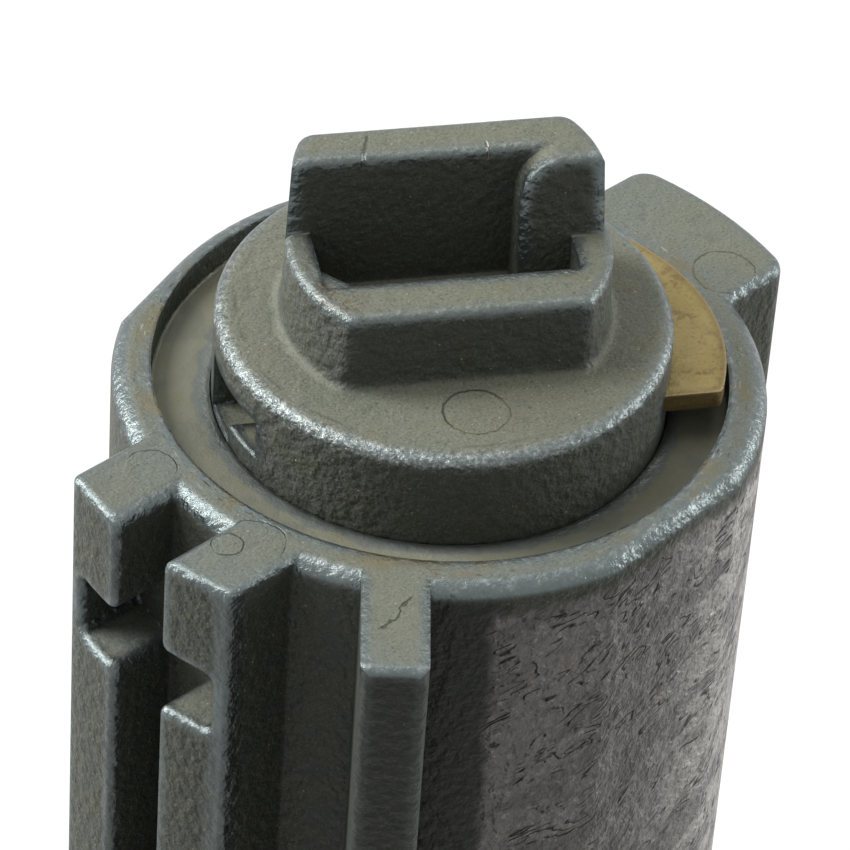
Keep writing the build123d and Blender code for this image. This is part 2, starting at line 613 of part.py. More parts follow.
# Shutter spring: a coil round the pin, with one leg up the well's wall and one on the flap's ear
with BuildPart() as shutter_spring:
    spring_start = along(SHUTTER_KNUCKLE_END_U + SHUTTER_SPRING_WIRE, SHUTTER_PIN_V, SHUTTER_PIN_Z).origin
    spring_reach = SHUTTER_END_U - SHUTTER_KNUCKLE_END_U - 2 * SHUTTER_SPRING_WIRE
    spring_turns = SHUTTER_SPRING_TURNS + (90 + SHUTTER_SPRING_LEG_ANGLE) / 360
    with BuildLine() as spring_path:
        winding = Helix(
            spring_reach / spring_turns,
            spring_reach,
            SHUTTER_SPRING_R,
            center=spring_start,
            direction=U_DIR,
            lefthand=True,
        )
        wall_leg = Line(winding @ 0 - (winding % 0) * SHUTTER_SPRING_WALL_LEG, winding @ 0)
        Line(winding @ 1, winding @ 1 + (winding % 1) * SHUTTER_SPRING_EAR_LEG)
    with BuildSketch(Plane(origin=wall_leg @ 0, z_dir=wall_leg % 0)):
        Circle(SHUTTER_SPRING_WIRE / 2)
    sweep(path=spring_path.wire(), is_frenet=True)
shutter_spring.part.label = "shutter_spring"
export_step(shutter_spring.part, "parts/shutter_spring.step")
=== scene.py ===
import logging
import math
from dataclasses import dataclass
from enum import Enum
from typing import Any, Iterable, Mapping, Optional, Union

import bpy
from mathutils import Matrix, Vector


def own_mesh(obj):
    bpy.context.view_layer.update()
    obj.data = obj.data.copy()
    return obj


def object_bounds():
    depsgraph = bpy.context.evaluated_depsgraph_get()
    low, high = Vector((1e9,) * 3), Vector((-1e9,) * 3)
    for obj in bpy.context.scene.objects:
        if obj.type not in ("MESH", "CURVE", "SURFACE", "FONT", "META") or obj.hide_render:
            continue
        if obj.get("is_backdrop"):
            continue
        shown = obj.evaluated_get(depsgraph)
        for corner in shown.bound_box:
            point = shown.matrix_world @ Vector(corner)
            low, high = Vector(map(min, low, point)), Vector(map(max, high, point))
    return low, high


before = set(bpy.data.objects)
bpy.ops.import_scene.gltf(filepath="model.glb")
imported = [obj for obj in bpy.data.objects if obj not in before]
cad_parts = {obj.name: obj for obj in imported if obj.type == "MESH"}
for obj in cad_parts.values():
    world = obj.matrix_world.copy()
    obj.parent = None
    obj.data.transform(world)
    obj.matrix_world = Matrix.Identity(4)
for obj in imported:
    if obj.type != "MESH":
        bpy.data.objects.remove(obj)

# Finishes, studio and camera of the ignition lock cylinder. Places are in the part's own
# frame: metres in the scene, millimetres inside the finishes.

log = logging.getLogger("lock_cylinder")

Colour = tuple[float, float, float]
Number = Union[float, "Value"]

MM = 0.001
RIM_Z = 55.0
CAMERA_AZIMUTH_DEG = -135.5
WHITE: Colour = (1.0, 1.0, 1.0)


class Facing(Enum):
    """Which way a surface looks."""

    UP = "up"
    OUT = "out"


class Value:
    """A number that varies over a surface: an output socket whose operators add Math nodes."""

    def __init__(self, graph: "Graph", socket: bpy.types.NodeSocket) -> None:
        """Wraps one output socket of a graph."""
        self.graph = graph
        self.socket = socket

    def __add__(self, other: Number) -> "Value":
        """Sum."""
        return self.graph.math("ADD", self, other)

    __radd__ = __add__

    def __sub__(self, other: Number) -> "Value":
        """Difference."""
        return self.graph.math("SUBTRACT", self, other)

    def __rsub__(self, other: Number) -> "Value":
        """Difference, the other way round."""
        return self.graph.math("SUBTRACT", other, self)

    def __mul__(self, other: Number) -> "Value":
        """Product."""
        return self.graph.math("MULTIPLY", self, other)

    __rmul__ = __mul__

    def __truediv__(self, other: Number) -> "Value":
        """Quotient."""
        return self.graph.math("DIVIDE", self, other)

    def __pow__(self, other: Number) -> "Value":
        """Power."""
        return self.graph.math("POWER", self, other)

    def __abs__(self) -> "Value":
        """Size without sign."""
        return self.graph.math("ABSOLUTE", self)

    def __or__(self, other: Number) -> "Value":
        """The larger of two masks."""
        return self.graph.math("MAXIMUM", self, other)

    __ror__ = __or__

    def between(self, low: float, high: float) -> "Value":
        """A soft step.

        Args:
            low: Where the step starts.
            high: Where it ends; below low, the step falls instead of rising.

        Returns:
            0 on the low side, 1 on the high side, smooth in between.
        """
        rising = low < high
        node = self.graph.node(
            "ShaderNodeMapRange",
            {"interpolation_type": "SMOOTHSTEP", "clamp": True},
            {
                "Value": self,
                "From Min": min(low, high),
                "From Max": max(low, high),
                "To Min": 0.0 if rising else 1.0,
                "To Max": 1.0 if rising else 0.0,
            },
        )
        return Value(self.graph, node.outputs["Result"])

    def near(self, centre: float, half_width: float) -> "Value":
        """A soft band: 1 at the centre and 0 from half_width away."""
        return abs(self - centre).between(half_width, 0.0)


class Graph:
    """The nodes of one material."""

    def __init__(self, name: str) -> None:
        """Starts an empty material of that name."""
        self.material = bpy.data.materials.new(name)
        self.material.use_nodes = True
        self.tree = self.material.node_tree
        self.tree.nodes.clear()

    def node(
        self,
        kind: str,
        settings: Optional[Mapping[str, Any]] = None,
        inputs: Optional[Mapping[Union[str, int], Any]] = None,
    ) -> bpy.types.Node:
        """Adds a node.

        Args:
            kind: The node's type.
            settings: Its own settings.
            inputs: Values or links of its sockets, by name or number.

        Returns:
            The new node.
        """
        node = self.tree.nodes.new(kind)
        for name, value in (settings or {}).items():
            setattr(node, name, value)
        for key, value in (inputs or {}).items():
            if isinstance(value, Value):
                value = value.socket
            if isinstance(value, bpy.types.NodeSocket):
                self.tree.links.new(value, node.inputs[key])
            elif node.inputs[key].type == "RGBA" and len(value) == 3:
                node.inputs[key].default_value = (*value, 1.0)
            else:
                node.inputs[key].default_value = value
        return node

    def math(self, operation: str, first: Number, second: Number = 0.0) -> Value:
        """Adds a Math node and returns its value."""
        node = self.node("ShaderNodeMath", {"operation": operation}, {0: first, 1: second})
        return Value(self, node.outputs[0])

    def place(
        self, squeeze: tuple[float, float, float] = (1.0, 1.0, 1.0)
    ) -> bpy.types.NodeSocket:
        """The surface point in millimetres, with each axis scaled by squeeze."""
        source = self.node("ShaderNodeTexCoord").outputs["Object"]
        return self.vector_math("MULTIPLY", source, tuple(axis / MM for axis in squeeze))

    def vector_math(self, operation: str, first: Any, second: Any) -> bpy.types.NodeSocket:
        """Adds a Vector Math node on two vectors and returns its output."""
        node = self.node("ShaderNodeVectorMath", {"operation": operation}, {0: first, 1: second})
        return node.outputs[0]

    def axes(self, vector: bpy.types.NodeSocket) -> tuple[Value, Value, Value]:
        """The three parts of a vector."""
        outputs = self.node("ShaderNodeSeparateXYZ", {}, {0: vector}).outputs
        return Value(self, outputs[0]), Value(self, outputs[1]), Value(self, outputs[2])

    def noise(
        self, place: bpy.types.NodeSocket, per_mm: float, detail: float = 2.0, rough: float = 0.5
    ) -> Value:
        """Cloudy noise.

        Args:
            place: Where it is read.
            per_mm: Clouds in a millimetre.
            detail: How many finer layers it has.
            rough: How strong those are.

        Returns:
            A value around 0.5.
        """
        node = self.node(
            "ShaderNodeTexNoise",
            {"noise_dimensions": "3D"},
            {"Vector": place, "Scale": per_mm, "Detail": detail, "Roughness": rough},
        )
        return Value(self, node.outputs["Fac"])

    def joined(self, x: Any, y: Any, z: Any = 0.0) -> bpy.types.NodeSocket:
        """A vector from its three parts."""
        return self.node("ShaderNodeCombineXYZ", {}, {0: x, 1: y, 2: z}).outputs[0]

    def warped(
        self, place: bpy.types.NodeSocket, per_mm: float, amount: float
    ) -> bpy.types.NodeSocket:
        """The place pushed about by noise, by up to half of amount in millimetres each way."""
        inputs = {"Vector": place, "Scale": per_mm, "Detail": 3.0}
        push = self.node("ShaderNodeTexNoise", {}, inputs).outputs["Color"]
        centred = self.vector_math("SUBTRACT", push, (0.5, 0.5, 0.5))
        scaled = self.vector_math("MULTIPLY", centred, (amount, amount, amount))
        return self.vector_math("ADD", place, scaled)

    def cells(self, place: bpy.types.NodeSocket, per_mm: float) -> Value:
        """Distance to the nearest of points scattered at random, in units of their spacing."""
        node = self.node("ShaderNodeTexVoronoi", {}, {"Vector": place, "Scale": per_mm})
        return Value(self, node.outputs["Distance"])

    def mix(self, mask: Number, first: Any, second: Any) -> bpy.types.NodeSocket:
        """One colour turning into another where the mask is 1."""
        node = self.node("ShaderNodeMix", {"data_type": "RGBA"}, {0: mask, 6: first, 7: second})
        return node.outputs[2]


class Skin:
    """The layers of one finish while it is being built up.

    The softened normal, with its parts across, along and up, is for colours and shading.
    Masks that also raise the surface read the mesh's own normal, facet_x to facet_z, because a
    bump reads its height three times and the softening is slow.
    """

    def __init__(
        self, name: str, colour: Colour, roughness: float, metallic: float, rounding: float
    ) -> None:
        """Starts a plain finish of one colour.

        Args:
            name: The material's name.
            colour: Its first colour.
            roughness: Its first roughness.
            metallic: Its first metallic share.
            rounding: Radius in millimetres by which edges are softened.
        """
        self.graph = Graph(name)
        graph = self.graph
        self.place = graph.place()
        self.x, self.y, self.z = graph.axes(self.place)
        self.radius = (self.x**2 + self.y**2) ** 0.5
        self.turn = graph.math("ARCTAN2", self.y, self.x) * math.degrees(1.0)
        rounded = graph.node("ShaderNodeBevel", {"samples": 4}, {"Radius": rounding * MM})
        self.normal = self.turned(rounded.outputs[0], "WORLD", "OBJECT")
        self.across, self.along, self.up = graph.axes(self.normal)
        facets = graph.node("ShaderNodeTexCoord").outputs["Normal"]
        self.facet_x, self.facet_y, self.facet_z = graph.axes(facets)
        slow, quick = graph.noise(self.place, 0.7), graph.noise(self.place, 3.5)
        self.wobble = (slow - 0.5) * 0.35 + (quick - 0.5) * 0.16
        self.gaps = graph.noise(self.place, 0.8, 2.0)
        self.colour: Any = graph.mix(0.0, colour, colour)
        self.roughness: Number = graph.math("ADD", roughness)
        self.metallic: Number = graph.math("ADD", metallic)
        self.height: Number = graph.math("ADD", 0.0)

    def turned(self, vector: bpy.types.NodeSocket, start: str, end: str) -> bpy.types.NodeSocket:
        """A normal carried from one space to another."""
        settings = {"vector_type": "NORMAL", "convert_from": start, "convert_to": end}
        return self.graph.node("ShaderNodeVectorTransform", settings, {0: vector}).outputs[0]

    def facing(self, which: Facing, low: float = 0.45, high: float = 0.85) -> Value:
        """A mask of the surfaces that look up or outward.

        Args:
            which: The direction.
            low: Cosine at which the mask starts.
            high: Cosine at which it is whole.

        Returns:
            The mask.
        """
        if which is Facing.UP:
            return self.facet_z.between(low, high)
        outward = (self.facet_x * self.x + self.facet_y * self.y) / self.radius
        return outward.between(low, high)

    def revolve(self, mask: Value, aligned: float = 0.985) -> None:
        """Makes turned surfaces look round instead of faceted.

        Args:
            mask: Where it is done.
            aligned: Cosine from the radius, in plan, above which a normal is turned onto it.
        """
        level = (self.across**2 + self.along**2) ** 0.5
        outward = (self.across * self.x + self.along * self.y) / self.radius
        side = outward.between(-0.01, 0.01) * 2.0 - 1.0
        cosine = abs(outward) / (level + 0.0001)
        share = cosine.between(aligned - 0.003, aligned + 0.003) * mask
        share = share * abs(outward).between(0.0, 0.05)
        length = side * level / self.radius
        turned = self.graph.joined(length * self.x, length * self.y, self.up)
        inputs = {0: share, 4: self.normal, 5: turned}
        self.normal = self.graph.node("ShaderNodeMix", {"data_type": "VECTOR"}, inputs).outputs[1]

    def tint(self, mask: Number, colour: Colour) -> None:
        """Turns the colour into another where the mask is 1."""
        self.colour = self.graph.mix(mask, self.colour, colour)

    def blend_roughness(self, mask: Value, roughness: float) -> None:
        """Turns the roughness into another where the mask is 1."""
        self.roughness = self.roughness * (1 - mask) + mask * roughness

    def blend_metallic(self, mask: Value, metallic: float) -> None:
        """Turns the metallic share into another where the mask is 1."""
        self.metallic = self.metallic * (1 - mask) + mask * metallic

    def lift(self, height: Value) -> None:
        """Raises the surface by a height in millimetres."""
        self.height = self.height + height

    def edges(self, reach: float) -> Value:
        """How sharp the outer edge is near a point.

        Args:
            reach: How far from an edge it is felt, in millimetres.

        Returns:
            0 on flat ground, about 0.5 on a sharp edge.
        """
        open_side = self.graph.node(
            "ShaderNodeAmbientOcclusion",
            {"inside": True, "only_local": True, "samples": 6},
            {"Distance": reach * MM},
        )
        return 1 - Value(self.graph, open_side.outputs["AO"])

    def material(self, specular: float) -> bpy.types.Material:
        """Closes the finish with the shader's specular level, and returns it."""
        graph = self.graph
        bump = graph.node(
            "ShaderNodeBump",
            {},
            {
                "Height": self.height,
                "Distance": MM,
                "Strength": 1.0,
                "Normal": self.turned(self.normal, "OBJECT", "WORLD"),
            },
        )
        shader = graph.node(
            "ShaderNodeBsdfPrincipled",
            {},
            {
                "Base Color": self.colour,
                "Roughness": self.roughness,
                "Metallic": self.metallic,
                "Normal": bump.outputs[0],
                "Specular IOR Level": specular,
            },
        )
        graph.node("ShaderNodeOutputMaterial", {}, {"Surface": shader.outputs[0]})
        return graph.material


@dataclass(frozen=True)
class PinMark:
    """The ring that an ejector pin leaves on a casting, in millimetres.

    A reach above -1 makes it an arc round middle_deg that ends where the cosine is reach.
    It fades to the faintest share where a noise is below whole.
    """

    x: float
    y: float
    radius: float
    depth: float = 0.05
    groove: float = 0.07
    whole: float = 0.45
    middle_deg: float = 0.0
    reach: float = -2.0
    dark: float = 0.6
    faintest: float = 0.12
    colour: Colour = (0.04, 0.04, 0.03)

    def press(self, skin: Skin, faces: Number) -> None:
        """Cuts the ring into a skin.

        Args:
            skin: The finish.
            faces: Mask of the faces that carry it.
        """
        middle = math.radians(self.middle_deg)
        across, along = skin.x - self.x, skin.y - self.y
        radius = (across**2 + along**2) ** 0.5 + skin.wobble
        cosine = (across * math.cos(middle) + along * math.sin(middle)) / self.radius
        part = cosine.between(self.reach, self.reach + 0.35)
        kept = skin.gaps.between(self.whole - 0.08, self.whole + 0.08)
        ring = radius.near(self.radius, self.groove) * faces * part
        ring = ring * (self.faintest + kept * (1.0 - self.faintest))
        skin.lift(ring * -self.depth)
        skin.lift(radius.between(self.radius, self.radius - 0.06) * faces * 0.012)
        skin.tint(ring * self.dark, self.colour)


@dataclass(frozen=True)
class Scratch:
    """A crooked scratch, nick or crack between two points seen from above, in millimetres."""

    start: tuple[float, float]
    end: tuple[float, float]
    width: float = 0.08
    depth: float = 0.06
    wander: float = 0.3
    colour: Colour = (0.02, 0.02, 0.016)

    def cut(self, skin: Skin, faces: Number) -> None:
        """Cuts it into a skin.

        Args:
            skin: The finish.
            faces: Mask of the faces that carry it.
        """
        span_x, span_y = self.end[0] - self.start[0], self.end[1] - self.start[1]
        length = math.hypot(span_x, span_y)
        way_x, way_y = span_x / length, span_y / length
        across, along = skin.x - self.start[0], skin.y - self.start[1]
        done = across * way_x + along * way_y
        aside = along * way_x - across * way_y + skin.wobble * self.wander
        line = aside.near(0.0, self.width) * done.between(-0.1, 0.15)
        line = line * done.between(length + 0.1, length - 0.15) * faces
        skin.lift(line * -self.depth)
        skin.tint(line * 0.8, self.colour)


@dataclass(frozen=True)
class CastZinc:
    """Bare zinc die casting: olive tops, drawn sides in painted shade, polished blue-grey edges.
    """

    top: Colour = (0.2, 0.205, 0.15)
    top_blue: Colour = (0.185, 0.21, 0.19)
    stain: Colour = (0.2, 0.17, 0.09)
    dim_top: Colour = (0.11, 0.12, 0.1)
    # The side colour is painted shade: darker than the tops, as on faces turned away from the
    # lamps.
    side: Colour = (0.07, 0.076, 0.062)
    olive_side: Colour = (0.085, 0.085, 0.058)
    dim_side: Colour = (0.05, 0.057, 0.052)
    pale_grain: Colour = (0.33, 0.34, 0.29)
    dark_grain: Colour = (0.035, 0.036, 0.028)
    pit: Colour = (0.045, 0.045, 0.038)
    glint_speck: Colour = (0.5, 0.5, 0.42)
    rubbed: Colour = (0.135, 0.165, 0.17)
    # Bright flecks: wear at the corners, and wear with a painted highlight on the rounds' upper
    # slopes.
    bright: Colour = (0.4, 0.43, 0.43)
    roughness: float = 0.55
    rubbed_roughness: float = 0.32
    specular: float = 0.2
    rounding: float = 0.3
    foot_radius: float = 0.0

    def skin(self, name: str, blue: float) -> Skin:
        """Builds the skin that every casting has.

        Args:
            name: The material's name.
            blue: How blue the tops are, from 0 to 1.

        Returns:
            The open skin, for marks to be added.
        """
        # Sides keep the darker colour and tops turn olive: painted shade on the sides.
        skin = Skin(name, self.side, self.roughness, 0.0, self.rounding)
        graph = skin.graph
        clouds = graph.noise(skin.place, 0.2, 2.0, 0.55)
        patches = graph.noise(skin.place, 0.9, 3.0, 0.62)
        grain = graph.noise(skin.place, 8.0, 2.0, 0.7)
        up = skin.up.between(0.45, 0.85)
        skin.tint(patches.between(0.42, 0.7) * 0.5, self.olive_side)
        skin.tint(patches.between(0.46, 0.3) * 0.4, self.dim_side)
        blueness = clouds.between(0.36, 0.64) * (0.2 + 0.5 * blue) + 0.35 * blue
        skin.colour = graph.mix(up, skin.colour, graph.mix(blueness, self.top, self.top_blue))
        skin.tint(up * patches.between(0.5, 0.72) * clouds.between(0.4, 0.6) * 0.45, self.stain)
        skin.tint(up * patches.between(0.46, 0.3) * 0.35, self.dim_top)
        self.roughen(skin, up, patches, grain)
        self.wear(skin)
        return skin

    def roughen(self, skin: Skin, up: Value, patches: Value, grain: Value) -> None:
        """Gives the cast skin its orange peel, grain and pits, and bright specks as painted
        glints.

        Args:
            skin: The finish.
            up: Mask of the tops.
            patches: Cloudy noise of about a millimetre.
            grain: Fine noise.
        """
        graph = skin.graph
        skin.tint(grain.between(0.54, 0.72) * (0.3 + up * 0.25), self.pale_grain)
        skin.tint(grain.between(0.46, 0.28) * 0.55, self.dark_grain)
        peel = graph.noise(skin.place, 1.9, 2.0, 0.5)
        skin.lift((peel - 0.5) * (0.24 - skin.facing(Facing.UP) * 0.18))
        skin.lift((grain - 0.5) * 0.03 + (patches - 0.5) * 0.08)
        pits = graph.cells(skin.place, 1.05).between(0.13, 0.05) * skin.gaps.between(0.5, 0.58)
        skin.tint(pits * 0.5, self.pit)
        # Bright specks: painted glints, as of light caught by the metal's grain.
        specks = graph.cells(skin.place, 1.6).between(0.1, 0.05) * patches.between(0.52, 0.56)
        skin.tint(specks * 0.75, self.glint_speck)

    def wear(self, skin: Skin) -> None:
        """Polishes a skin's rounds blue-grey and leaves bright wear flecks with a painted
        highlight along the crests.
        """
        graph = skin.graph
        sharp = skin.edges(0.8)
        ragged = graph.noise(skin.place, 1.4, 3.0, 0.65) - 0.5
        flecks = graph.noise(skin.place, 2.6, 3.0, 0.7)
        sloped = skin.up.between(0.12, 0.45) * (skin.up + ragged * 0.12).between(0.985, 0.93)
        beyond = skin.radius.between(self.foot_radius - 0.2, self.foot_radius + 0.2)
        sloped = sloped * (sharp.between(0.01, 0.06) | beyond)
        rubbed = (sharp + ragged * 0.2).between(0.08, 0.3) | sloped
        # Flecks on the rounds' upper slopes: wear flecks with a painted highlight where the
        # overhead lamp's highlight falls.
        crest_wear_and_glint = rubbed * (skin.up + ragged * 0.2).between(0.5, 0.75) * flecks.between(0.5, 0.66)
        corner = (sharp + ragged * 0.35).between(0.3, 0.45) * flecks.between(0.48, 0.62)
        skin.tint(rubbed * 0.8, self.rubbed)
        skin.tint((crest_wear_and_glint * 0.35) | (corner * 0.25), self.bright)
        skin.blend_roughness(rubbed, self.rubbed_roughness)
        skin.blend_metallic(rubbed * 0.8, 1.0)
        rounds = skin.facet_z.between(0.12, 0.4) * skin.facet_z.between(0.98, 0.92)
        skin.lift(rounds * (flecks - 0.5) * 0.045)


@dataclass(frozen=True)
class CrackedWall:
    """Housing wall where the metal ran cold: pale, flaky and creased, with painted light at its
    right end.
    """

    pale: Colour = (0.16, 0.155, 0.145)
    pink: Colour = (0.2, 0.17, 0.16)
    dim: Colour = (0.07, 0.068, 0.063)
    dark: Colour = (0.01, 0.01, 0.009)
    # Painted light on the creased wall's right end.
    lit: Colour = (0.5, 0.49, 0.465)
    flake: Colour = (0.36, 0.35, 0.33)
    roughness: float = 0.48
    metallic: float = 0.45
    start_deg: float = -123.5
    end_deg: float = -8.0
    slant_deg: float = 26.0

    def spoil(self, skin: Skin, outer_radius: float, below_z: float) -> None:
        """Roughens the wall of a skin.

        Args:
            skin: The housing's finish.
            outer_radius: The body's radius in millimetres.
            below_z: Height at which the rough wall starts.
        """
        graph = skin.graph
        zone = self.zone(skin, outer_radius, below_z)
        round_way = skin.turn * math.radians(outer_radius)
        lean = math.radians(self.slant_deg)
        along = round_way * math.cos(lean) + skin.z * math.sin(lean)
        across = skin.z * math.cos(lean) - round_way * math.sin(lean)
        flat = graph.joined(along * 0.36, across)
        bent = graph.warped(flat, 0.6, 1.3)
        torn = graph.noise(skin.place, 0.35, 2.0, 0.6)
        fine = graph.noise(skin.place, 2.4, 3.0, 0.72)
        long_marks = self.strokes(skin, bent, 0.5, 0.014, torn.between(0.36, 0.46))
        curled = graph.warped(flat, 1.2, 0.9)
        short_marks = self.strokes(skin, curled, 0.75, 0.018, torn.between(0.44, 0.54))
        skin.tint(zone * 0.95, self.pale)
        # Lighter towards the right end of the creased wall: painted light.
        skin.tint(zone * skin.turn.between(-92.0, -62.0) * 0.9, self.lit)
        skin.tint(zone * skin.gaps.between(0.5, 0.68) * 0.5, self.pink)
        skin.tint(zone * graph.noise(bent, 0.5, 3.0, 0.6).between(0.52, 0.4) * 0.55, self.dim)
        skin.tint(zone * fine.between(0.5, 0.36) * 0.5, self.dim)
        skin.tint(zone * fine.between(0.56, 0.7) * 0.45, self.flake)
        skin.tint((long_marks | (short_marks * 0.9)) * zone, self.dark)
        skin.blend_roughness(zone, self.roughness)
        skin.blend_metallic(zone, self.metallic)
        skin.lift(long_marks * zone * -0.2)
        crumple = graph.noise(skin.place, 0.9, 3.0, 0.68)
        skin.lift(zone * ((crumple - 0.5) * 0.55 + (fine - 0.5) * 0.14))

    def zone(self, skin: Skin, outer_radius: float, below_z: float) -> Value:
        """A mask of the spoiled wall, with a wandering border."""
        wander = (skin.gaps - 0.5) * 4.0
        sides = (skin.turn + wander).between(self.start_deg - 1.0, self.start_deg + 1.5)
        sides = sides * (skin.turn + wander).between(self.end_deg, self.end_deg - 6.0)
        sides = sides * skin.radius.near(outer_radius, 1.4).between(0.0, 0.3)
        under = (skin.z + (skin.gaps - 0.5) * 1.2).between(below_z + 0.2, below_z - 0.7)
        return sides * under * skin.facing(Facing.OUT, 0.3, 0.8)

    def strokes(
        self, skin: Skin, place: bpy.types.NodeSocket, per_mm: float, width: float, torn: Value
    ) -> Value:
        """Short curved creases along the level lines of a noise.

        Args:
            skin: The finish.
            place: Where the noise is read.
            per_mm: Its clouds in a millimetre.
            width: Width of a crease, in units of the noise.
            torn: Mask of the places that have creases.

        Returns:
            A mask of the creases.
        """
        level = skin.graph.noise(place, per_mm, 2.0, 0.5)
        lines = level.near(0.43, width) | level.near(0.5, width) | level.near(0.57, width)
        parts = skin.graph.noise(skin.place, 0.6 + per_mm * 0.4, 2.0).between(0.5, 0.57)
        return lines * torn * parts


@dataclass(frozen=True)
class StampedBrass:
    """Brass sheet with a brown film, polished where it rubs."""

    film: Colour = (0.31, 0.24, 0.085)
    clean: Colour = (0.4, 0.32, 0.14)
    brown: Colour = (0.13, 0.08, 0.03)
    worn: Colour = (0.55, 0.45, 0.24)
    roughness: float = 0.45
    worn_roughness: float = 0.3
    metallic: float = 0.4
    specular: float = 0.3
    rounding: float = 0.12

    def make(self, name: str) -> bpy.types.Material:
        """Builds the material of that name."""
        skin = Skin(name, self.film, self.roughness, self.metallic, self.rounding)
        graph = skin.graph
        clouds = graph.noise(skin.place, 0.35, 4.0, 0.6)
        blots = graph.noise(skin.place, 1.1, 5.0, 0.7)
        grain = graph.noise(skin.place, 6.0, 3.0, 0.7)
        skin.tint(clouds.between(0.4, 0.62) * 0.5, self.clean)
        skin.tint(blots.between(0.5, 0.66) * 0.6, self.brown)
        skin.tint(grain.between(0.53, 0.7) * 0.5, self.brown)
        skin.tint(grain.between(0.46, 0.32) * 0.5, self.clean)
        rim = (skin.edges(0.6) + (blots - 0.5) * 0.5).between(0.08, 0.32)
        skin.tint(rim * 0.5, self.brown)
        drawn = graph.noise(graph.place((9.0, 2.0, 9.0)), 0.8, 3.0)
        skin.lift((drawn - 0.5) * 0.012 + (grain - 0.5) * 0.03 + (blots - 0.5) * 0.08)
        wear = (skin.edges(0.25) + (blots - 0.5) * 0.3).between(0.25, 0.45)
        skin.tint(wear * 0.5, self.worn)
        skin.blend_roughness(wear, self.worn_roughness)
        skin.tint(skin.facing(Facing.UP, 0.5, 0.2) * 0.5, self.brown)
        return skin.material(self.specular)


@dataclass(frozen=True)
class PlainSteel:
    """Steel with drawing lines, for springs, pin, shutter and cap."""

    colour: Colour = (0.42, 0.42, 0.41)
    dull: Colour = (0.3, 0.29, 0.27)
    roughness: float = 0.32
    lines_per_mm: float = 5.0
    specular: float = 0.5
    rounding: float = 0.05

    def make(self, name: str) -> bpy.types.Material:
        """Builds the material of that name."""
        skin = Skin(name, self.colour, self.roughness, 1.0, self.rounding)
        graph = skin.graph
        film = graph.noise(skin.place, 0.5, 4.0, 0.6)
        lines = graph.noise(graph.place((1.0, 1.0, 0.15)), self.lines_per_mm, 2.0)
        skin.tint(film.between(0.45, 0.7) * 0.6, self.dull)
        skin.blend_roughness(film.between(0.4, 0.7), self.roughness + 0.16)
        skin.lift((lines - 0.5) * 0.006)
        return skin.material(self.specular)


def dress(nodes: Iterable[str], material: bpy.types.Material) -> None:
    """Puts one material on CAD nodes.

    Args:
        nodes: The nodes' names.
        material: The finish.
    """
    for name in nodes:
        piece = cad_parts[name]
        if not piece.material_slots:
            piece.data.materials.append(material)
        for held in piece.material_slots:
            held.material = material
        log.info("%s wears %s", name, material.name)


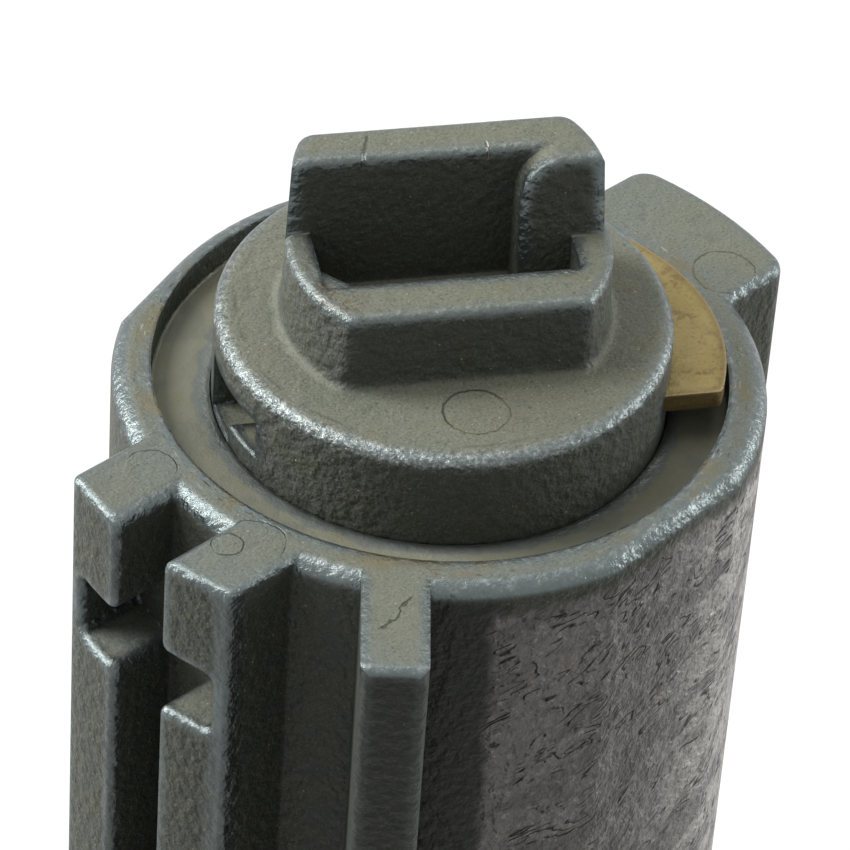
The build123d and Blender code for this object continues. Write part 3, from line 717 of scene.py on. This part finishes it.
@dataclass
class Housing:
    """The cast housing: its tops, drawn walls, creased side and pin marks."""

    body_radius: float = 15.0
    seat_radius: float = 13.2
    bore_radius: float = 10.5
    key_radius: float = 18.4
    rim_round: float = 0.95
    ledge_z: float = RIM_Z - 1.5
    side_flat_deg: float = -85.5
    side_flat: float = 14.43
    wall_shade_deg: float = -131.0
    fin_deg: float = -137.5
    worn_corner: tuple[float, float] = (-17.54, -5.55)
    corner_polish: Colour = (0.1, 0.12, 0.12)
    # Painted shade on the faces beside the diagonal rib.
    wall_shade: Colour = (0.022, 0.025, 0.02)
    # The ledge's tan is a real film, made lighter than the tops by painted light.
    ledge_film_painted_light: Colour = (0.29, 0.29, 0.215)
    ledge_brown: Colour = (0.27, 0.24, 0.14)
    ledge_grey: Colour = (0.2, 0.215, 0.18)
    ledge_border: Colour = (0.19, 0.215, 0.21)
    mouth_line: Colour = (0.05, 0.05, 0.04)
    rim_tan: Colour = (0.2, 0.18, 0.11)
    rim_bright: Colour = (0.42, 0.41, 0.34)
    rim_dark: Colour = (0.05, 0.048, 0.036)
    crack: Colour = (0.06, 0.06, 0.045)
    marks: tuple[PinMark, ...] = (
        PinMark(14.96, -3.36, 1.5, whole=0.4, dark=0.45),
        PinMark(-15.51, -2.99, 0.72, depth=0.06, groove=0.06, whole=0.4),
        PinMark(-14.5, -3.6, 1.45, 0.04, groove=0.06, whole=0.4, middle_deg=10.0, reach=0.0),
        PinMark(-14.86, 2.94, 1.2, 0.04, groove=0.06, whole=0.4, middle_deg=25.0, reach=0.1),
    )
    cracks: tuple[Scratch, ...] = (
        Scratch((-11.45, -10.6), (-12.7, -11.05), 0.1, depth=0.07, wander=3.0, colour=crack),
        Scratch((-12.6, -11.0), (-13.95, -11.3), 0.1, depth=0.06, wander=3.0, colour=crack),
    )

    def build(self) -> None:
        """Dresses the housing."""
        skin = CastZinc().skin("cast_housing", 0.75)
        self.paint_wall_shade(skin)
        CrackedWall().spoil(skin, self.body_radius, RIM_Z - 1.3)
        tops = skin.facing(Facing.UP, 0.8, 0.95) * skin.z.between(RIM_Z - 0.3, RIM_Z - 0.1)
        for mark in self.marks:
            mark.press(skin, tops)
        for crack in self.cracks:
            crack.cut(skin, tops)
        self.paint_ledge_film_and_light(skin)
        self.scuff_rim(skin)
        self.polish_corner(skin)
        self.round_off(skin)
        dress(["housing"], skin.material(CastZinc.specular))

    def round_off(self, skin: Skin) -> None:
        """Makes the body and the head flange look round, and the flat at its side nearly so."""
        way = math.radians(self.side_flat_deg)
        reach = skin.x * math.cos(way) + skin.y * math.sin(way)
        on_flat = reach.near(self.side_flat, 0.06).between(0.0, 0.2)
        skin.revolve(on_flat * 0.7, 0.955)
        body = skin.radius.between(self.key_radius + 0.2, self.key_radius + 0.1)
        skin.revolve(body | skin.z.between(0.0, -0.1))

    def paint_wall_shade(self, skin: Skin) -> None:
        """Paints shade on the diagonal rib and the smooth wall between it and the creased side."""
        beside = skin.turn.near(self.wall_shade_deg, 14.0).between(0.0, 0.4)
        beside = beside * skin.radius.near(self.body_radius, 0.9).between(0.0, 0.2)
        fin = skin.turn.near(self.fin_deg, 8.0).between(0.0, 0.3)
        fin = fin * skin.radius.between(self.body_radius + 0.6, self.body_radius + 1.2)
        shaded_walls = (beside | (fin * 0.8)) * skin.facing(Facing.UP, 0.3, 0.0)
        # Painted shade: these faces are darkened as if in shadow.
        skin.tint(shaded_walls * 0.75, self.wall_shade)

    def paint_ledge_film_and_light(self, skin: Skin) -> None:
        """Leaves a tan film lightened by painted light, and a blue-grey inner border on the ledge
        under the tail disc.
        """
        graph = skin.graph
        ledge = skin.z.near(self.ledge_z, 0.4).between(0.0, 0.3) * skin.facing(Facing.UP, 0.7, 0.9)
        ledge = ledge * skin.radius.between(self.seat_radius + 0.3, self.seat_radius + 0.1)
        streaks = graph.noise(skin.place, 0.5, 3.0)
        # The tan film is painted lighter than the tops: painted light in the counterbore.
        skin.tint(ledge * 0.85, self.ledge_film_painted_light)
        skin.tint(ledge * streaks.between(0.52, 0.68) * 0.35, self.ledge_brown)
        skin.tint(ledge * streaks.between(0.46, 0.34) * 0.5, self.ledge_grey)
        ragged = (skin.gaps - 0.5) * 1.2
        inner = skin.radius + ragged
        border = inner.between(self.bore_radius + 0.75, self.bore_radius + 0.5)
        skin.tint(ledge * border * 0.8, self.ledge_border)
        mouth = (skin.radius + ragged * 0.2).near(self.seat_radius + 0.04, 0.08)
        mouth = mouth * skin.z.between(RIM_Z - 0.2, RIM_Z - 0.05) * streaks.between(0.44, 0.56)
        skin.tint(mouth * 0.45, self.mouth_line)

    def polish_corner(self, skin: Skin) -> None:
        """Polishes the outer corner of the middle rib, which sticks out furthest to the front."""
        across, along = skin.x - self.worn_corner[0], skin.y - self.worn_corner[1]
        away = (across**2 + along**2) ** 0.5
        corner = (away + skin.wobble).between(1.15, 0.7) * skin.facing(Facing.UP, 0.6, 0.2)
        skin.tint(corner * 0.5, self.corner_polish)
        skin.blend_roughness(corner * 0.8, 0.34)
        skin.blend_metallic(corner * 0.45, 1.0)

    def scuff_rim(self, skin: Skin) -> None:
        """Scuffs the rim's flat with tan patches and fine bright scratches that run round it."""
        graph = skin.graph
        flat_end = self.body_radius - self.rim_round
        on_rim = skin.z.between(RIM_Z - 0.15, RIM_Z - 0.05)
        on_rim = on_rim * skin.radius.between(flat_end + 0.3, flat_end - 0.1)
        tan = graph.noise(skin.place, 0.28, 2.0).between(0.48, 0.62)
        skin.tint(on_rim * tan * 0.75, self.rim_tan)
        round_way = skin.turn * math.radians(self.body_radius)
        ringed = graph.joined(round_way * 0.5, skin.radius * 3.0)
        lines = graph.noise(graph.warped(ringed, 1.0, 0.4), 1.8, 2.0, 0.65)
        scuffed = on_rim * skin.gaps.between(0.46, 0.58) * 0.7
        skin.tint(scuffed * lines.between(0.6, 0.7), self.rim_bright)
        skin.tint(scuffed * lines.between(0.4, 0.32), self.rim_dark)


@dataclass
class Rotor:
    """The cast rotor: disc, tang and barrel."""

    disc_marks: tuple[PinMark, ...] = (
        PinMark(-3.76, -6.15, 1.5, groove=0.09, whole=0.4, middle_deg=90.0, reach=-0.2),
        PinMark(-3.76, -6.15, 1.5, depth=0.04, groove=0.09, whole=0.3, dark=0.25),
    )
    disc_top_z: float = RIM_Z + 3.4
    disc_radius: float = 10.43
    low_wall_z: float = RIM_Z + 7.35
    tall_wall_z: float = RIM_Z + 11.28
    blue: float = 0.1
    rust_spot: tuple[float, float] = (-7.0, 0.2)
    rust: Colour = (0.13, 0.065, 0.02)
    soot: Colour = (0.05, 0.045, 0.03)
    # Bright flecks of the disc round's painted highlight.
    highlight_fleck: Colour = (0.42, 0.43, 0.4)
    dark_fleck: Colour = (0.06, 0.062, 0.055)
    crest_line: Colour = (0.06, 0.06, 0.05)
    nicks: tuple[Scratch, ...] = (
        Scratch((-1.3, 4.3), (-2.75, 3.1), 0.12, 0.08, wander=0.8, colour=(0.1, 0.105, 0.09)),
        Scratch((2.55, 0.75), (2.25, 0.1), 0.1, 0.08, wander=0.2, colour=(0.2, 0.2, 0.17)),
    )

    def build(self) -> None:
        """Dresses the rotor."""
        # The rotor's sides get a lighter painted shade than the housing's.
        finish = CastZinc(side=(0.094, 0.102, 0.085), foot_radius=9.0)
        skin = finish.skin("cast_rotor", self.blue)
        on_disc = skin.facing(Facing.UP, 0.8, 0.95) * skin.z.near(self.disc_top_z, 0.3)
        for mark in self.disc_marks:
            mark.press(skin, on_disc)
        on_tall = skin.z.between(self.tall_wall_z - 0.7, self.tall_wall_z - 0.5)
        for nick in self.nicks:
            nick.cut(skin, on_tall)
        self.rust_shelf(skin)
        self.paint_round_highlight(skin)
        skin.revolve(skin.radius.between(9.0, 9.3))
        dress(["rotor"], skin.material(CastZinc.specular))

    def rust_shelf(self, skin: Skin) -> None:
        """Leaves a few brown and dark specks on the low wall's left end."""
        across, along = skin.x - self.rust_spot[0], skin.y - self.rust_spot[1]
        away = (across**2 + along**2) ** 0.5
        spot = away.between(2.2, 0.6) * skin.z.near(self.low_wall_z, 0.5)
        specks = skin.graph.noise(skin.place, 4.5, 3.0, 0.7)
        skin.tint(spot * specks.between(0.53, 0.62) * 0.7, self.rust)
        skin.tint(spot * specks.between(0.44, 0.36) * 0.7, self.soot)

    def paint_round_highlight(self, skin: Skin) -> None:
        """Paints a highlight on the disc's round: a bright speckled band, strongest on the left,
        with a faint dark line inside it.
        """
        graph = skin.graph
        reach = skin.radius + (graph.noise(skin.place, 1.0, 3.0) - 0.5) * 0.35
        near_top = skin.z.between(self.disc_top_z - 1.0, self.disc_top_z - 0.4)
        band = reach.between(self.disc_radius - 0.8, self.disc_radius - 0.55) * near_top
        speckle = graph.noise(skin.place, 4.5, 3.0, 0.75)
        # The band and the line are strongest on the left: the bright speckle is a painted
        # highlight.
        left = (skin.x / skin.radius).between(0.3, -0.95)
        band = band * (0.3 + left * 0.7)
        skin.tint(band * speckle.between(0.5, 0.62) * 0.55, self.highlight_fleck)
        skin.tint(band * speckle.between(0.46, 0.36) * 0.5, self.dark_fleck)
        skin.lift(band * (speckle - 0.5) * 0.06)
        line = reach.near(self.disc_radius - 0.95, 0.16) * skin.z.near(self.disc_top_z, 0.3)
        line = line * graph.noise(skin.place, 0.5, 2.0).between(0.4, 0.55) * left
        skin.tint(line * 0.45, self.crest_line)


@dataclass
class SmallPieces:
    """Plate, wafers, springs, cap, shutter and its pin."""

    slide_deg: float = -31.7
    spring_seat: float = -5.46
    spring_length: float = 6.42
    plate_travel: float = 2.75
    spring_slack: float = 0.05

    def build(self) -> None:
        """Dresses them all, and gives the plate's spring a mesh of its own."""
        springs = [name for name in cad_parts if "spring" in name]
        wafers = [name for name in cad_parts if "wafer" in name and name not in springs]
        wafer_brass = StampedBrass(film=(0.45, 0.33, 0.12), roughness=0.36)
        dress(["retaining_plate"], StampedBrass().make("brass_plate"))
        dress(wafers, wafer_brass.make("brass_wafer"))
        dress(springs, PlainSteel(roughness=0.28).make("spring_wire"))
        dress(["face_cap"], PlainSteel(colour=(0.6, 0.6, 0.59), roughness=0.22).make("plated_cap"))
        dress(["key_shutter", "shutter_pin"], PlainSteel().make("shutter_steel"))
        self.shorten_spring()

    def shorten_spring(self) -> None:
        """Gives the plate's spring a mesh of its own, without shortening it."""
        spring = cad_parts["plate_spring"]
        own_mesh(spring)


def direction(azimuth_deg: float, elevation_deg: float) -> Vector:
    """A unit vector at that azimuth and elevation."""
    turn, rise = math.radians(azimuth_deg), math.radians(elevation_deg)
    flat = math.cos(rise)
    return Vector((math.cos(turn) * flat, math.sin(turn) * flat, math.sin(rise)))


@dataclass
class PhotoCamera:
    """The camera at the photograph's place."""

    azimuth_deg: float = CAMERA_AZIMUTH_DEG
    elevation_deg: float = 40.1
    roll_deg: float = 4.2
    distance: float = 0.243
    focal_px: float = 5333.6
    picture_px: float = 850.0
    axis_px: tuple[float, float] = (440.7, 366.1)
    sensor: float = 36.0

    def build(self) -> None:
        """Makes the camera. It is turned so that the rim's centre falls on its pixel."""
        turn = math.radians(self.azimuth_deg)
        back = direction(self.azimuth_deg, self.elevation_deg)
        level = Vector((-math.sin(turn), math.cos(turn), 0.0))
        upright = back.cross(level)
        roll = math.radians(self.roll_deg)
        right = level * math.cos(roll) + upright * math.sin(roll)
        up = upright * math.cos(roll) - level * math.sin(roll)
        middle = self.picture_px / 2
        off_x = (middle - self.axis_px[0]) / self.focal_px
        off_y = (middle - self.axis_px[1]) / self.focal_px
        look = (right * off_x - up * off_y - back).normalized()
        side = look.cross(up).normalized()
        head = side.cross(look)
        turned = Matrix((side, head, -look)).transposed().to_4x4()
        data = bpy.data.cameras.new("camera")
        data.sensor_width = self.sensor
        data.lens = self.sensor * self.focal_px / self.picture_px
        data.clip_start, data.clip_end = 0.01, 20.0
        camera = bpy.data.objects.new("camera", data)
        bpy.context.collection.objects.link(camera)
        rim = Vector((0.0, 0.0, RIM_Z * MM))
        camera.matrix_world = Matrix.Translation(rim + back * self.distance) @ turned
        bpy.context.scene.camera = camera
        log.info("camera at %s", tuple(round(v, 4) for v in camera.location))


@dataclass
class Softbox:
    """One square lamp, aimed at the rim."""

    name: str
    azimuth_deg: float
    elevation_deg: float
    size: float
    watts: float
    distance: float = 0.5

    def build(self) -> None:
        """Makes the lamp. The azimuth counts from the camera's right, anticlockwise from above."""
        right_deg = CAMERA_AZIMUTH_DEG + 90.0
        way = direction(right_deg + self.azimuth_deg, self.elevation_deg)
        data = bpy.data.lights.new(self.name, "AREA")
        data.shape = "SQUARE"
        data.size = self.size
        data.energy = self.watts
        lamp = bpy.data.objects.new(self.name, data)
        bpy.context.collection.objects.link(lamp)
        lamp.location = Vector((0.0, 0.0, RIM_Z * MM)) + way * self.distance
        lamp.rotation_mode = "QUATERNION"
        lamp.rotation_quaternion = way.to_track_quat("Z", "Y")


@dataclass
class Studio:
    """White floor, pale surroundings and softboxes."""

    floor_size: float = 6.0
    floor_grey: float = 0.15
    glow: float = 0.9
    sky_level: float = 0.22
    lamps: tuple[Softbox, ...] = (
        Softbox("key_lamp", azimuth_deg=175.0, elevation_deg=53.0, size=0.2, watts=1.4),
        Softbox("overhead_lamp", azimuth_deg=90.0, elevation_deg=74.0, size=0.35, watts=0.5),
        Softbox("left_lamp", azimuth_deg=170.0, elevation_deg=15.0, size=0.2, watts=2.1),
        Softbox("right_lamp", azimuth_deg=18.0, elevation_deg=10.0, size=0.2, watts=1.15),
    )

    def build(self) -> None:
        """Makes floor, world and lamps."""
        self.make_floor()
        self.make_world()
        for lamp in self.lamps:
            lamp.build()

    def make_floor(self) -> None:
        """Makes a pale floor under the key end, white to the camera where it is lit."""
        half = self.floor_size / 2
        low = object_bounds()[0].z
        mesh = bpy.data.meshes.new("floor")
        corners = [(-half, -half, low), (half, -half, low), (half, half, low), (-half, half, low)]
        mesh.from_pydata(corners, [], [(0, 1, 2, 3)])
        floor = bpy.data.objects.new("floor", mesh)
        bpy.context.collection.objects.link(floor)
        floor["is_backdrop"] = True
        graph = Graph("white_floor")
        rays = graph.node("ShaderNodeLightPath").outputs
        seen = Value(graph, rays["Is Camera Ray"]) | Value(graph, rays["Is Glossy Ray"])
        seen = seen | Value(graph, rays["Is Transmission Ray"])
        paint = graph.node("ShaderNodeBsdfDiffuse", {}, {"Color": (self.floor_grey,) * 3})
        glow = graph.node("ShaderNodeEmission", {}, {"Color": WHITE, "Strength": seen * self.glow})
        both = graph.node("ShaderNodeAddShader", {}, {0: paint.outputs[0], 1: glow.outputs[0]})
        graph.node("ShaderNodeOutputMaterial", {}, {"Surface": both.outputs[0]})
        mesh.materials.append(graph.material)

    def make_world(self) -> None:
        """Makes plain light from all round, white where the camera or a reflection sees it."""
        world = bpy.data.worlds.new("studio_air")
        world.use_nodes = True
        bpy.context.scene.world = world
        nodes, links = world.node_tree.nodes, world.node_tree.links
        nodes.clear()
        rays = nodes.new("ShaderNodeLightPath").outputs
        seen = rays["Is Camera Ray"]
        for other in ("Is Glossy Ray", "Is Transmission Ray"):
            either = nodes.new("ShaderNodeMath")
            either.operation = "MAXIMUM"
            links.new(seen, either.inputs[0])
            links.new(rays[other], either.inputs[1])
            seen = either.outputs[0]
        level = nodes.new("ShaderNodeMapRange")
        level.inputs["To Min"].default_value = self.sky_level
        level.inputs["To Max"].default_value = 1.0
        links.new(seen, level.inputs["Value"])
        air = nodes.new("ShaderNodeBackground")
        air.inputs["Color"].default_value = (*WHITE, 1.0)
        links.new(level.outputs["Result"], air.inputs["Strength"])
        links.new(air.outputs[0], nodes.new("ShaderNodeOutputWorld").inputs["Surface"])


def main() -> None:
    """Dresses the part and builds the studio."""
    logging.basicConfig(level=logging.INFO, format="%(message)s")
    bpy.context.scene.view_settings.view_transform = "Standard"
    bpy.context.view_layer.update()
    for group in (Housing(), Rotor(), SmallPieces(), Studio(), PhotoCamera()):
        group.build()
        log.info("built %s", type(group).__name__)


if __name__ == "__main__":
    main()
